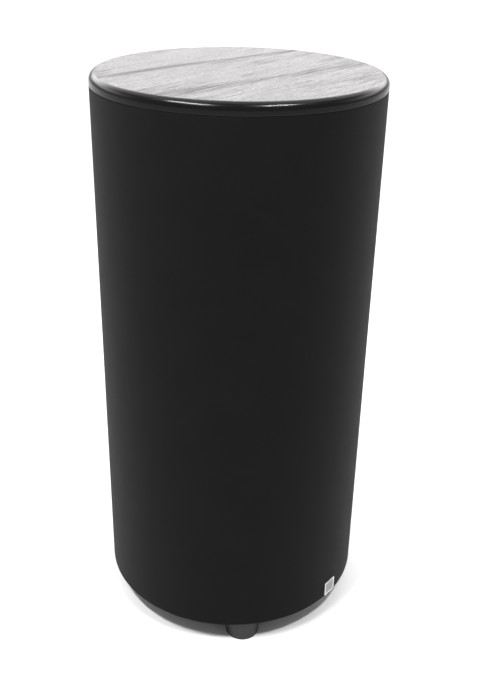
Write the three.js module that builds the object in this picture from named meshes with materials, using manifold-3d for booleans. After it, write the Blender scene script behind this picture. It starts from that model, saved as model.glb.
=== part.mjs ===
// A cylindrical floor-standing subwoofer: a cloth-covered fibre tube with a wooden top cap, a 12 inch woofer
// firing down between four rubber feet, a bent reflex port and an amplifier plate let flat into the back.
// Millimetres, +Z up. The origin is on the floor under the cylinder's axis, the front is -Y and the back is +Y.
import * as THREE from "three";
import { mergeVertices } from "three/addons/utils/BufferGeometryUtils.js";
import Module from "manifold-3d";

const wasm = await Module();
wasm.setup();

// ---- Driving dimensions ----
const GAP = 0.3; // clearance between touching pieces
const OUTER_R = 211; // over the cloth
const CLOTH = 1.5;
const TUBE_R = OUTER_R - CLOTH - GAP;
const TUBE_WALL = 10;
const TUBE_INNER_R = TUBE_R - TUBE_WALL;
const FOOT_HEIGHT = 35;
const BODY_HEIGHT = 834; // underside of the baffle to the top of the cap
const TOP = FOOT_HEIGHT + BODY_HEIGHT;
const CAP_THICK = 17;
const CAP_ROUND = 11;
const PLUG_THICK = 18;
const BAFFLE_THICK = 25;
const BAFFLE_TOP = FOOT_HEIGHT + BAFFLE_THICK;
const CAP_UNDER = TOP - CAP_THICK;

const FOOT_R = 26.5;
const FOOT_RING_R = 180.5;
const FOOT_ANGLES = { front_left: 225, front_right: 315, back_right: 45, back_left: 135 };

const FLANGE_R = 152; // woofer
const CUTOUT_R = 141;
const FLANGE_THICK = 5;
const FLANGE_Z = FOOT_HEIGHT + 0.4;
const CONE_R = 114;
const ROLL_OUTER_R = 134;
const COIL_R = 32;
const LIP_THICK = 1.2;
const SPIDER_Z = 96;
const BASKET_TOP = 119;
const TOP_PLATE_THICK = 8;
const MAGNET_THICK = 30;
const YOKE_THICK = 9;

const PLATE_Y = 182; // outer face of the amplifier plate
const PLATE_THICK = 3;
const PLATE_HALF_W = 97;
const PLATE_LOW = 80;
const PLATE_HIGH = 380;
const FRAME_RIM = 14;
const FRAME_LEDGE = 12;
const FRAME_BACK_Y = 160;
const GASKET_THICK = 1.4;

const BOARD_Y = 150;
const BOARD_THICK = 1.6;

const PORT_Z = 500;
const PORT_BORE_R = 44.5;
const PORT_WALL = 3.5;
const PORT_HOLE_R = 64.5;
const PORT_LIP_R = 72;
const PORT_FACE_Y = OUTER_R + 1.7;
const PORT_STUB_Y = 150;
const PORT_BEND_R = 75;
const PORT_RISER_TOP = 745;
const BRACE_Z = 655;

const BADGE_W = 26;
const BADGE_H = 25;
const BADGE_Z = 52.3;

const ROUND = 48; // sides of the cabinet's circles
const WIDE = 28; // of the woofer's
const MEDIUM = 20;
const SMALL = 12;

// ---- Materials ----
const finish = (color, roughness, metalness = 0) => new THREE.MeshStandardMaterial({ color, roughness, metalness });
const MATERIALS = {
  veneer: finish(0x1a1919, 0.35),
  cloth: finish(0x101011, 0.95),
  fibreboard: finish(0x9a7b56, 0.85),
  painted: finish(0x141414, 0.6),
  rubber: finish(0x262626, 0.8),
  steel: finish(0x8d8f92, 0.35, 1),
  blackSteel: finish(0x1b1b1c, 0.45, 1),
  aluminium: finish(0xb4b6b9, 0.35, 1),
  plastic: finish(0x18181a, 0.5),
  cone: finish(0x1c1c1e, 0.6),
  ferrite: finish(0x3a3a3d, 0.7),
  copper: finish(0xb06a3a, 0.35, 1),
  spiderCloth: finish(0xc79a4e, 0.9),
  board: finish(0x1d4a2c, 0.6),
  wadding: finish(0xe6e4dd, 1.0),
  lens: finish(0x3f6fd0, 0.2),
  amplifier: finish(0x161617, 0.5, 0.3),
};

// ---- Solids ----
// A closed geometry as a manifold-3d solid, turned right side out.
function solidOf(geometry) {
  const bare = geometry.index ? geometry.toNonIndexed() : geometry.clone();
  for (const name of ["normal", "uv"]) bare.deleteAttribute(name);
  const merged = mergeVertices(bare, 1e-3);
  const vertProperties = merged.attributes.position.array;
  const triVerts = new Uint32Array(merged.index.array);
  const made = new wasm.Manifold(new wasm.Mesh({ numProp: 3, vertProperties, triVerts }));
  if (made.volume() >= 0) return made;
  for (let i = 0; i < triVerts.length; i += 3) {
    [triVerts[i + 1], triVerts[i + 2]] = [triVerts[i + 2], triVerts[i + 1]];
  }
  return new wasm.Manifold(new wasm.Mesh({ numProp: 3, vertProperties, triVerts }));
}

function geometryOf(solid) {
  const { numProp, numVert, vertProperties, triVerts } = solid.getMesh();
  const position = new Float32Array(numVert * 3);
  for (let i = 0; i < numVert; i++) {
    position.set(vertProperties.subarray(i * numProp, i * numProp + 3), i * 3);
  }
  const geometry = new THREE.BufferGeometry();
  geometry.setAttribute("position", new THREE.BufferAttribute(position, 3));
  geometry.setIndex(new THREE.BufferAttribute(new Uint32Array(triVerts), 1));
  return geometry;
}

const cut = (body, ...tools) => tools.reduce((rest, tool) => rest.subtract(tool), body);
const join = (...bodies) => bodies.reduce((all, body) => all.add(body));

// A solid turned about +Z from a profile of [radius, height] points, closed on itself unless it ends on the axis.
function turned(profile, sides = ROUND) {
  const open = profile[0][0] === 0 && profile.at(-1)[0] === 0;
  const points = (open ? profile : [...profile, profile[0]]).map(([r, z]) => new THREE.Vector2(r, z));
  return solidOf(new THREE.LatheGeometry(points, sides).rotateX(Math.PI / 2));
}

const ring = (inner, outer, low, high, sides = ROUND) =>
  turned([[inner, low], [outer, low], [outer, high], [inner, high]], sides);

const rod = (radius, low, high, sides = SMALL) =>
  turned([[0, low], [radius, low], [radius, high], [0, high]], sides);

function box(low, high) {
  const size = high.map((value, i) => value - low[i]);
  const middle = high.map((value, i) => (value + low[i]) / 2);
  return solidOf(new THREE.BoxGeometry(...size).translate(...middle));
}

// Points of an arc about (x, y), in the order from one angle to the other, in degrees.
function arc(x, y, radius, from, to, steps) {
  return Array.from({ length: steps + 1 }, (_, i) => {
    const angle = THREE.MathUtils.degToRad(from + ((to - from) * i) / steps);
    return [x + radius * Math.cos(angle), y + radius * Math.sin(angle)];
  });
}

function roundedRectangle(halfWidth, halfHeight, corner, Kind = THREE.Shape) {
  const outline = [
    ...arc(halfWidth - corner, halfHeight - corner, corner, 0, 90, 3),
    ...arc(corner - halfWidth, halfHeight - corner, corner, 90, 180, 3),
    ...arc(corner - halfWidth, corner - halfHeight, corner, 180, 270, 3),
    ...arc(halfWidth - corner, corner - halfHeight, corner, 270, 360, 3),
  ];
  return new Kind(outline.map(([x, y]) => new THREE.Vector2(x, y)));
}

// Extrudes an outline along local +Z.
const prism = (shape, depth) => solidOf(new THREE.ExtrudeGeometry(shape, { depth, bevelEnabled: false }));

// Sets a solid made along local +Z on the back panel, so that its +Z points out of the back, +Y.
const onBack = (body, x, y, z) => body.rotate([-90, 0, 0]).translate([x, y, z]);

function tubeAlong(points, radius, sides, steps, bore = 0) {
  const circle = (r) => arc(0, 0, r, 0, 360 - 360 / sides, sides - 1).map(([x, y]) => new THREE.Vector2(x, y));
  const section = new THREE.Shape(circle(radius));
  if (bore) section.holes.push(new THREE.Path(circle(bore)));
  const extrudePath = new THREE.CatmullRomCurve3(points.map((p) => new THREE.Vector3(...p)));
  return solidOf(new THREE.ExtrudeGeometry(section, { steps, extrudePath, bevelEnabled: false, curveSegments: 1 }));
}

// ---- The part ----
const subwoofer = new THREE.Group();

function add(name, body, material) {
  const mesh = new THREE.Mesh(geometryOf(body), material);
  mesh.name = name;
  subwoofer.add(mesh);
  return mesh;
}

const PLATE_MIDDLE = (PLATE_LOW + PLATE_HIGH) / 2;
const PLATE_HALF_H = (PLATE_HIGH - PLATE_LOW) / 2;
const FRAME_HALF_W = PLATE_HALF_W + 1.3 + FRAME_RIM;
const FRAME_HALF_H = PLATE_HALF_H + 1.3 + FRAME_RIM;
const PANEL_BACK_Y = PLATE_Y - PLATE_THICK;

// The space that the amplifier's frame takes out of the tube and the cloth, and the port's round hole.
const frameSpace = (margin) =>
  box(
    [-FRAME_HALF_W - margin, 100, PLATE_MIDDLE - FRAME_HALF_H - margin],
    [FRAME_HALF_W + margin, OUTER_R + 20, PLATE_MIDDLE + FRAME_HALF_H + margin],
  );
const portHole = (radius) => onBack(rod(radius, 0, 130, MEDIUM), 0, 100, PORT_Z);

// Cabinet: the wooden ends, the tube between them and the cloth over it.
function buildCabinet() {
  const roundTop = arc(OUTER_R - CAP_ROUND, TOP - CAP_ROUND, CAP_ROUND, 0, 90, 4);
  const cap = turned([[0, CAP_UNDER], [OUTER_R - 1, CAP_UNDER], [OUTER_R, CAP_UNDER + 1], ...roundTop, [0, TOP]]);
  add("top_cap", cap, MATERIALS.veneer);
  const plugTop = CAP_UNDER - GAP;
  add("top_plug", rod(TUBE_INNER_R - GAP, plugTop - PLUG_THICK, plugTop, ROUND), MATERIALS.fibreboard);

  const tube = ring(TUBE_INNER_R, TUBE_R, BAFFLE_TOP + GAP, CAP_UNDER - GAP);
  add("cabinet_tube", cut(tube, frameSpace(GAP), portHole(PORT_HOLE_R)), MATERIALS.fibreboard);
  const cloth = ring(OUTER_R - CLOTH, OUTER_R, FOOT_HEIGHT + 0.5, CAP_UNDER - GAP);
  add("cloth_sleeve", cut(cloth, frameSpace(GAP), portHole(PORT_HOLE_R)), MATERIALS.cloth);

  const rebateTop = FOOT_HEIGHT + FLANGE_THICK + 2;
  const baffle = turned([
    [CUTOUT_R, BAFFLE_TOP],
    [CUTOUT_R, rebateTop],
    [FLANGE_R + 1.5, rebateTop],
    [FLANGE_R + 1.5, FOOT_HEIGHT],
    [TUBE_R, FOOT_HEIGHT],
    [TUBE_R, BAFFLE_TOP],
  ]);
  const pilots = footPlaces().map(([, x, y]) => rod(3.3, FOOT_HEIGHT - 1, FOOT_HEIGHT + 21, 8).translate([x, y, 0]));
  add("bottom_baffle", cut(baffle, ...pilots), MATERIALS.painted);
  const liner = ring(CUTOUT_R + 4, TUBE_INNER_R - GAP, BAFFLE_TOP + GAP, BAFFLE_TOP + 15);
  add("baffle_ring", cut(liner, frameSpace(2)), MATERIALS.fibreboard);

  // Wadding lines the upper tube, open at the back for the port.
  const outerArc = arc(0, 0, TUBE_INNER_R - 0.6, 135, 405, 24);
  const innerArc = arc(0, 0, TUBE_INNER_R - 20, 405, 135, 24);
  const lining = new THREE.Shape([...outerArc, ...innerArc].map(([x, y]) => new THREE.Vector2(x, y)));
  const liningLow = PLATE_HIGH + 30;
  const liningHigh = CAP_UNDER - PLUG_THICK - 6;
  const wadding = prism(lining, liningHigh - liningLow).translate([0, 0, liningLow]);
  add("wadding", wadding, MATERIALS.wadding);
}

// A small plain plate on the cloth, low on the front.
function buildBadge() {
  const plate = prism(roundedRectangle(BADGE_W / 2, BADGE_H / 2, 1.2), 1.4);
  const field = prism(roundedRectangle(BADGE_W / 2 - 2, BADGE_H / 2 - 2, 0.8), 1).translate([0, 0, 1]);
  add("badge", cut(plate, field).rotate([90, 0, 0]).translate([0, -OUTER_R - GAP, BADGE_Z]), MATERIALS.aluminium);
}

function footPlaces() {
  return Object.entries(FOOT_ANGLES).map(([name, degrees]) => {
    const angle = THREE.MathUtils.degToRad(degrees);
    return [name, FOOT_RING_R * Math.cos(angle), FOOT_RING_R * Math.sin(angle)];
  });
}

// Rubber feet, each held by a screw whose head sits deep in the foot.
function buildFeet() {
  const top = FOOT_HEIGHT - GAP;
  const seat = 16;
  const foot = turned(
    [[9, 0], [FOOT_R - 1.5, 0], [FOOT_R, 1.5], [FOOT_R, top], [3.5, top], [3.5, seat], [9, seat]],
    MEDIUM,
  );
  const headLow = seat - GAP - 4;
  const screw = turned(
    [[0, headLow], [5, headLow], [6.5, headLow + 1.5], [6.5, seat - GAP], [3, seat - GAP],
      [3, FOOT_HEIGHT + 18], [0, FOOT_HEIGHT + 20]],
    8,
  );
  for (const [name, x, y] of footPlaces()) {
    add(`foot_${name}`, foot.translate([x, y, 0]), MATERIALS.rubber);
    add(`foot_screw_${name}`, screw.translate([x, y, 0]), MATERIALS.steel);
  }
}

// Woofer, front down. Heights grow from the flange towards the magnet.
function buildWoofer() {
  const flangeTop = FLANGE_Z + FLANGE_THICK;
  const flange = ring(ROLL_OUTER_R, FLANGE_R, FLANGE_Z, flangeTop, WIDE);
  const cup = turned(
    [[66, 90], [79, 90], [84, BASKET_TOP - 5], [84, BASKET_TOP], [40, BASKET_TOP],
      [40, BASKET_TOP - 4], [74, BASKET_TOP - 4], [74, SPIDER_Z - 0.8], [66, SPIDER_Z - 0.8]],
    MEDIUM,
  );
  const spokeSide = new THREE.Shape(
    [[135, 38], [139, 38], [139, 52], [83, BASKET_TOP - 0.5], [76, BASKET_TOP - 0.5], [76, 92], [135, 46]].map(
      ([r, z]) => new THREE.Vector2(r, z),
    ),
  );
  const spokeWidth = 16;
  const spoke = prism(spokeSide, spokeWidth).rotate([90, 0, 0]).translate([0, spokeWidth / 2, 0]);
  const spokes = Array.from({ length: 6 }, (_, i) => spoke.rotate([0, 0, 30 + 60 * i]));
  add("woofer_basket", join(flange, cup, ...spokes), MATERIALS.blackSteel);
  add("woofer_gasket", ring(143, FLANGE_R - 1, flangeTop + GAP, flangeTop + 1.3, WIDE), MATERIALS.rubber);

  // Half-roll surround: an outer lip on the flange, a roll bulging down, an inner lip on the cone's rim.
  const lipTop = FLANGE_Z - GAP;
  const lipLow = lipTop - LIP_THICK;
  const rollMiddle = (CONE_R + ROLL_OUTER_R) / 2;
  const rollR = (ROLL_OUTER_R - CONE_R) / 2;
  add(
    "surround",
    turned(
      [[ROLL_OUTER_R + 8, lipLow], [ROLL_OUTER_R + 8, lipTop],
        ...arc(rollMiddle, lipTop, rollR - LIP_THICK, 0, -180, 5), [CONE_R - 6, lipTop], [CONE_R - 6, lipLow],
        ...arc(rollMiddle, lipLow, rollR, 180, 360, 5)],
      WIDE,
    ),
    MATERIALS.rubber,
  );

  const rimZ = FLANGE_Z;
  const neckZ = 84;
  const coneRim = CONE_R - 8;
  const coneThick = 1.8;
  add(
    "cone",
    turned(
      [[CONE_R - 0.5, rimZ], [CONE_R - 0.5, rimZ + coneThick], [coneRim, rimZ + coneThick],
        [COIL_R + GAP, neckZ + coneThick], [COIL_R + GAP, neckZ - coneThick], [coneRim - 1, rimZ]],
      WIDE,
    ),
    MATERIALS.cone,
  );
  // Dust cap: a dome over the neck, its rim lying just in front of the cone.
  const domeR = 46;
  const domeRimZ = 72.6;
  const domeRise = 13;
  const dome = (inset) =>
    Array.from({ length: 6 }, (_, i) => {
      const r = ((domeR - inset) * i) / 5;
      return [r, domeRimZ - domeRise * (1 - (r / domeR) ** 2) + inset];
    });
  add("dust_cap", turned([...dome(0), ...dome(1).reverse()], MEDIUM), MATERIALS.cone);
  add(
    "voice_coil",
    turned(
      [[COIL_R - 0.8, 80], [COIL_R, 80], [COIL_R, 109], [COIL_R + 1.6, 109], [COIL_R + 1.6, 138],
        [COIL_R, 138], [COIL_R, 140], [COIL_R - 0.8, 140]],
      MEDIUM,
    ),
    MATERIALS.copper,
  );

  const crests = 4;
  const spiderInner = COIL_R + GAP;
  const waveOuter = 65;
  const corrugated = (lift) => [
    ...Array.from({ length: crests * 2 + 1 }, (_, i) => {
      const share = i / (crests * 2);
      const height = 2 * Math.sin(Math.PI * crests * share);
      return [spiderInner + (waveOuter - spiderInner) * share, SPIDER_Z + height + lift];
    }),
    [72, SPIDER_Z + lift],
  ];
  add("spider", turned([...corrugated(-0.5), ...corrugated(0.5).reverse()], MEDIUM), MATERIALS.spiderCloth);

  const plateLow = BASKET_TOP + GAP;
  const magnetLow = plateLow + TOP_PLATE_THICK + GAP;
  const yokeLow = magnetLow + MAGNET_THICK + GAP;
  add("magnet_top_plate", ring(35.3, 76, plateLow, plateLow + TOP_PLATE_THICK, MEDIUM), MATERIALS.steel);
  add("magnet", ring(46, 88, magnetLow, magnetLow + MAGNET_THICK, MEDIUM), MATERIALS.ferrite);
  add(
    "magnet_yoke",
    turned(
      [[9, 116], [29.8, 116], [29.8, yokeLow], [76, yokeLow], [76, yokeLow + YOKE_THICK], [9, yokeLow + YOKE_THICK]],
      MEDIUM,
    ),
    MATERIALS.steel,
  );
  add("woofer_terminals", box([-11, 121.8, 73], [11, 130, 87]), MATERIALS.plastic);
}

// Reflex port: a flared mouth let into the back, a bend, a riser and a flare at its inner end.
function buildPort() {
  const outside = PORT_BORE_R + PORT_WALL;
  const bellLow = PORT_FACE_Y - 30;
  const bell = (offset) =>
    Array.from({ length: 5 }, (_, i) => {
      const angle = (Math.PI / 2) * (i / 4);
      return [PORT_BORE_R + offset + 15 * (1 - Math.cos(angle)), bellLow + 30 * Math.sin(angle)];
    });
  const mouth = turned(
    [[PORT_BORE_R, PORT_STUB_Y], ...bell(0), [PORT_LIP_R - 1, PORT_FACE_Y], [PORT_LIP_R, PORT_FACE_Y - 1],
      [PORT_LIP_R, PORT_FACE_Y - 20], [PORT_HOLE_R - 1, PORT_FACE_Y - 20], [outside, bellLow - 4],
      [outside, PORT_STUB_Y]],
    MEDIUM,
  );
  const wall = cut(rod(OUTER_R + GAP, PORT_Z - 90, PORT_Z + 90, ROUND), portHole(PORT_HOLE_R - GAP));
  add("port_mouth", cut(onBack(mouth, 0, 0, PORT_Z), wall), MATERIALS.plastic);

  const bendStart = PORT_STUB_Y - GAP;
  const bendTurn = arc(bendStart - 4, PORT_Z + PORT_BEND_R, PORT_BEND_R, 270, 180, 8);
  const riserY = bendStart - 4 - PORT_BEND_R;
  const bendTop = PORT_Z + PORT_BEND_R + 4;
  const bendPath = [[0, bendStart, PORT_Z], ...bendTurn.map(([y, z]) => [0, y, z]), [0, riserY, bendTop]];
  add("port_bend", tubeAlong(bendPath, outside, MEDIUM, 7, PORT_BORE_R), MATERIALS.plastic);
  const riser = ring(PORT_BORE_R, outside, bendTop + GAP, PORT_RISER_TOP, MEDIUM);
  add("port_riser", riser.translate([0, riserY, 0]), MATERIALS.plastic);
  const flareLow = PORT_RISER_TOP + GAP;
  const flareCurve = (offset) =>
    arc(PORT_BORE_R + 18, flareLow + 6, 18, 180, 90, 3).map(([r, z]) => [r + offset * 0.7, z - offset * 0.7]);
  const flare = turned(
    [[PORT_BORE_R, flareLow], ...flareCurve(0), ...flareCurve(4).reverse(), [outside, flareLow]],
    MEDIUM,
  );
  add("port_inner_flare", flare.translate([0, riserY, 0]), MATERIALS.plastic);

  // A shelf from the back wall holds the riser.
  const shelf = rod(TUBE_INNER_R - GAP, BRACE_Z, BRACE_Z + 18, ROUND).intersect(
    box([-75, riserY - 62, BRACE_Z - 1], [75, OUTER_R, BRACE_Z + 19]),
  );
  const riserHole = rod(outside + GAP, BRACE_Z - 1, BRACE_Z + 19, MEDIUM).translate([0, riserY, 0]);
  add("port_brace", cut(shelf, riserHole), MATERIALS.fibreboard);
}

// Places on the amplifier plate, as [x, z].
const PLACES = {
  led: [0, 357],
  gain: [-56, 318],
  phase: [0, 318],
  lowpass: [56, 318],
  rca: [-52, 243],
  trigger: [2, 252],
  auto: [52, 248],
  inlet: [-40, 126],
  rocker: [24, 126],
  fuse: [66, 126],
};
const KNOBS = ["gain", "phase", "lowpass"];
const RCA_PITCH = 19;
const rcaOffsets = [[-1, -1], [1, -1], [-1, 1], [1, 1]].map(([x, z]) => [(x * RCA_PITCH) / 2, (z * RCA_PITCH) / 2]);
const ROCKER_PIVOT_Y = PLATE_Y - 1;
const ROCKER_TILT = 8;
const AUTO_TRAVEL = 4;

// Puts a solid made along local +Z at a named place, its zero on the plate's outer face.
const atPlace = (body, place, dx = 0, dz = 0) =>
  onBack(body, PLACES[place][0] + dx, PLATE_Y, PLACES[place][1] + dz);

const hole = (place, radius, dx = 0, dz = 0) => atPlace(rod(radius, -6, 3), place, dx, dz);
const slot = (place, halfWidth, halfHeight) =>
  atPlace(prism(roundedRectangle(halfWidth, halfHeight, 1), 9).translate([0, 0, -6]), place);

function buildAmplifierCase() {
  const shell = rod(OUTER_R, PLATE_MIDDLE - FRAME_HALF_H, PLATE_MIDDLE + FRAME_HALF_H, ROUND).intersect(
    box([-FRAME_HALF_W, FRAME_BACK_Y, 0], [FRAME_HALF_W, OUTER_R + 5, TOP]),
  );
  const ledgeY = PANEL_BACK_Y - 2 * GAP - GASKET_THICK;
  const window = prism(roundedRectangle(PLATE_HALF_W + 1.3, PLATE_HALF_H + 1.3, 7), 60);
  const throat = prism(roundedRectangle(PLATE_HALF_W - FRAME_LEDGE, PLATE_HALF_H - FRAME_LEDGE, 4), 60);
  const frame = cut(
    shell,
    onBack(window, 0, ledgeY, PLATE_MIDDLE),
    onBack(throat, 0, FRAME_BACK_Y - 10, PLATE_MIDDLE),
  );
  add("amplifier_frame", frame, MATERIALS.painted);

  const band = roundedRectangle(PLATE_HALF_W - 0.5, PLATE_HALF_H - 0.5, 6);
  band.holes.push(roundedRectangle(PLATE_HALF_W - FRAME_LEDGE + 1, PLATE_HALF_H - FRAME_LEDGE + 1, 4, THREE.Path));
  add("amplifier_gasket", onBack(prism(band, GASKET_THICK), 0, ledgeY + GAP, PLATE_MIDDLE), MATERIALS.rubber);

  const plate = onBack(
    prism(roundedRectangle(PLATE_HALF_W, PLATE_HALF_H, 6), PLATE_THICK),
    0,
    PANEL_BACK_Y,
    PLATE_MIDDLE,
  );
  const posts = [[-74, 168], [74, 168], [-74, 342], [74, 342]].map(([x, z]) =>
    onBack(rod(3.5, BOARD_Y + BOARD_THICK + GAP - PLATE_Y, -1, 8), x, PLATE_Y, z),
  );
  const openings = [
    ...KNOBS.map((place) => hole(place, 4.3)),
    ...rcaOffsets.map(([dx, dz]) => hole("rca", 5.6, dx, dz)),
    hole("trigger", 4.3),
    hole("led", 1.9),
    hole("fuse", 6.8),
    slot("auto", 2.2, 5),
    slot("inlet", 14.3, 10.8),
    slot("rocker", 9.8, 15.3),
  ];
  add("amplifier_plate", join(cut(plate, ...openings), ...posts), MATERIALS.amplifier);
}

function buildControls() {
  for (const place of KNOBS) {
    const pot = join(
      box([-8, -8, -12], [8, 8, -PLATE_THICK - GAP]),
      ring(3.3, 4, -PLATE_THICK - GAP - 1, 3, SMALL),
    );
    const bushing = rod(3.3, -PLATE_THICK - 3, 4);
    add(`pot_${place}`, atPlace(cut(pot, bushing), place), MATERIALS.steel);
    add(`shaft_${place}`, atPlace(rod(3, -PLATE_THICK - 2.5, 13), place), MATERIALS.steel);
    const skirt = turned(
      [[0, 13.3], [3.3, 13.3], [3.3, 3.3], [11, 3.3], [11, 5], [9.4, 6.5], [8.7, 15.6], [7.9, 16.4], [0, 16.4]],
      16,
    );
    const pointer = box([-0.7, -7.6, 16], [0.7, -3, 17]);
    add(`knob_${place}`, atPlace(join(skirt, pointer), place), MATERIALS.plastic);
  }

  const well = cut(
    join(
      prism(roundedRectangle(12, 17.5, 2), 2).translate([0, 0, GAP]),
      prism(roundedRectangle(9.5, 15, 1), 20).translate([0, 0, -19]),
    ),
    prism(roundedRectangle(8, 14, 0.5), 20).translate([0, 0, -9]),
  );
  add("rocker_bezel", atPlace(well, "rocker"), MATERIALS.plastic);
  // The rocker's side outline: the first number points out of the panel, the second up.
  const side = [[-3, -12.2], [4.4, -12.4], [2.6, 0], [4.4, 12.4], [-3, 12.2]];
  const outline = new THREE.Shape(side.map(([y, z]) => new THREE.Vector2(y, z)));
  const rocker = prism(outline, 15).translate([0, 0, -7.5]).rotate([90, 0, 90]).rotate([ROCKER_TILT, 0, 0]);
  add("power_rocker", rocker.translate([PLACES.rocker[0], ROCKER_PIVOT_Y, PLACES.rocker[1]]), MATERIALS.plastic);

  const [autoX, autoZ] = PLACES.auto;
  const leverZ = autoZ - AUTO_TRAVEL / 2;
  const lever = box([autoX - 1.9, PLATE_Y - 8, leverZ - 2], [autoX + 1.9, PLATE_Y + 3.5, leverZ + 2]);
  add("auto_switch", lever, MATERIALS.plastic);
  const casing = cut(
    box([autoX - 5, PANEL_BACK_Y - 9, autoZ - 9], [autoX + 5, PANEL_BACK_Y - GAP, autoZ + 9]),
    box([autoX - 2.2, PANEL_BACK_Y - 6, autoZ - 5], [autoX + 2.2, PANEL_BACK_Y, autoZ + 5]),
  );
  add("auto_switch_body", casing, MATERIALS.steel);

  const nut = join(rod(6.5, -14, 1.5), rod(8.5, GAP, 3, 6));
  add("fuse_holder", atPlace(cut(nut, rod(5, -12.5, 4)), "fuse"), MATERIALS.plastic);
  const fuseCap = cut(join(rod(4.7, -12, 4), rod(6.5, 3 + GAP, 6)), box([-7, -0.6, 4.5], [7, 0.6, 7]));
  add("fuse_cap", atPlace(fuseCap, "fuse"), MATERIALS.plastic);

  const dome = turned([[0, -5], [2.4, -5], [2.4, -PLATE_THICK - GAP], [1.6, -PLATE_THICK - GAP], [1.6, 0.6],
    ...arc(0, 0.6, 1.6, 0, 90, 3).slice(1, -1), [0, 2.2]], 12);
  add("status_led", atPlace(dome, "led"), MATERIALS.lens);
}

function buildSockets() {
  const back = -PLATE_THICK - GAP;
  const barrels = rcaOffsets.map(([x, y]) => rod(4.15, back - 2, 9.5).translate([x, y, 0]));
  const collars = rcaOffsets.map(([x, y]) => rod(5.2, back - 1, 1).translate([x, y, 0]));
  const bores = rcaOffsets.map(([x, y]) => rod(1.6, 0, 12, 8).translate([x, y, 0]));
  const block = box([-20, -20, back - 10], [20, 20, back]);
  add("rca_block", atPlace(cut(join(block, ...collars, ...barrels), ...bores), "rca"), MATERIALS.plastic);

  const jack = cut(join(rod(4, -10, 3.5), ring(3.5, 6, GAP, 2.3, 6)), rod(1.8, -8, 5, 10));
  add("trigger_jack", atPlace(jack, "trigger"), MATERIALS.steel);

  const housing = join(
    prism(roundedRectangle(25, 13.5, 3), 2.5).translate([0, 0, GAP]),
    prism(roundedRectangle(14, 10.5, 1.5), 24).translate([0, 0, -22]),
  );
  const recess = prism(roundedRectangle(12.3, 8.2, 2), 20).translate([0, 0, -16]);
  const pins = [[-7, -2], [7, -2], [0, 2]].map(([x, y]) => box([x - 1, y - 2, -17], [x + 1, y + 2, -3]));
  add("power_inlet", atPlace(join(cut(housing, recess), ...pins), "inlet"), MATERIALS.plastic);
}

// What stands behind the plate: the circuit board and its larger parts.
function buildElectronics() {
  const board = box([-80, BOARD_Y, 160], [80, BOARD_Y + BOARD_THICK, 350]);
  add("circuit_board", board, MATERIALS.board);
  const behind = BOARD_Y - GAP;
  const finPlaces = [-40, -30, -20, -10, 0, 10, 20, 30, 40];
  const fins = finPlaces.map((x) => box([x - 1, behind - 32, 270], [x + 1, behind - 5, 340]));
  add("heatsink", join(box([-42, behind - 6, 270], [42, behind, 340]), ...fins), MATERIALS.aluminium);
  const transformer = join(
    box([-60, behind - 38, 180], [-10, behind, 190]),
    box([-60, behind - 38, 220], [-10, behind, 230]),
    box([-52, behind - 36, 188], [-18, behind - 2, 222]),
  );
  add("transformer", transformer, MATERIALS.ferrite);
  for (const [name, x] of [["capacitor_1", 20], ["capacitor_2", 54]]) {
    add(name, onBack(rod(15, 0, 42, 12), x, behind - 42, 205), MATERIALS.plastic);
  }
  const lead = [[20, 147.6, 166], [20, 147, 150], [16, 144, 124], [6, 139, 100], [0, 134.5, 88], [0, 132.3, 79]];
  add("woofer_lead", tubeAlong(lead, 2, 8, 12), MATERIALS.rubber);
}

buildCabinet();
buildBadge();
buildFeet();
buildWoofer();
buildPort();
buildAmplifierCase();
buildControls();
buildSockets();
buildElectronics();

export default subwoofer;
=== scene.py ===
"""The looks of a cylindrical down-firing subwoofer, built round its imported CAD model.

Metres, +Z up, back at +Y. Point lists for turned parts are in millimetres, made metres by mm().
"""

from math import atan2, cos, pi, radians, sin, sqrt

import bmesh
import bpy
from mathutils import Matrix, Vector, noise


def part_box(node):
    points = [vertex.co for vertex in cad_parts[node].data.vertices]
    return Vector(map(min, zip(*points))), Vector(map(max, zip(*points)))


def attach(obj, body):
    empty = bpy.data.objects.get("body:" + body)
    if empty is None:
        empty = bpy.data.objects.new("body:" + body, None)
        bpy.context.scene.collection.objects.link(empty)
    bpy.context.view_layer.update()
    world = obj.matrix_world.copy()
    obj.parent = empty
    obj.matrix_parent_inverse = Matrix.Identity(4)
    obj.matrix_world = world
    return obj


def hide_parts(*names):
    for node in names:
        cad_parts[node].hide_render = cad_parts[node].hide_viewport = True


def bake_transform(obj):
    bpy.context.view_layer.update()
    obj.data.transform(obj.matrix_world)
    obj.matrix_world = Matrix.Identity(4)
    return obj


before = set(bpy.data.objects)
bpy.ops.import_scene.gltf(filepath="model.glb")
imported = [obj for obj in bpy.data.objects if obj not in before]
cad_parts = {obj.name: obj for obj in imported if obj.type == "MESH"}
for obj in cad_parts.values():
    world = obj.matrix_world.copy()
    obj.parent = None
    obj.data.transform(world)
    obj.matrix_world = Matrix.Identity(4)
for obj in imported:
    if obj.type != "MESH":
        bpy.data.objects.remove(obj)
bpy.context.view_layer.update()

MM = 0.001
OUTER_R = 0.211
TUBE_R = 0.2092
TUBE_INNER_R = 0.1992
BASE_Z = 0.035  # underside of the baffle
CAP_UNDER = 0.852
TOP = 0.869
FOOT_RING_R = 0.1805
FOOT_ANGLES = {"front_left": 225, "front_right": 315, "back_right": 45, "back_left": 135}
PORT_Z = 0.5
PORT_FACE_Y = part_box("port_mouth")[1].y
PLATE_Y = 0.182
FRAME_LOW, FRAME_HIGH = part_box("amplifier_frame")
PANEL_MIDDLE_Z = (FRAME_LOW.z + FRAME_HIGH.z) / 2
IDENTITY = Matrix.Identity(4)

# ---------------------------------------------------------------- points and places


def mm(points):
    return [(a * MM, b * MM) for a, b in points]


def polar(radius, degrees):
    return radius * cos(radians(degrees)), radius * sin(radians(degrees))


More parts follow.
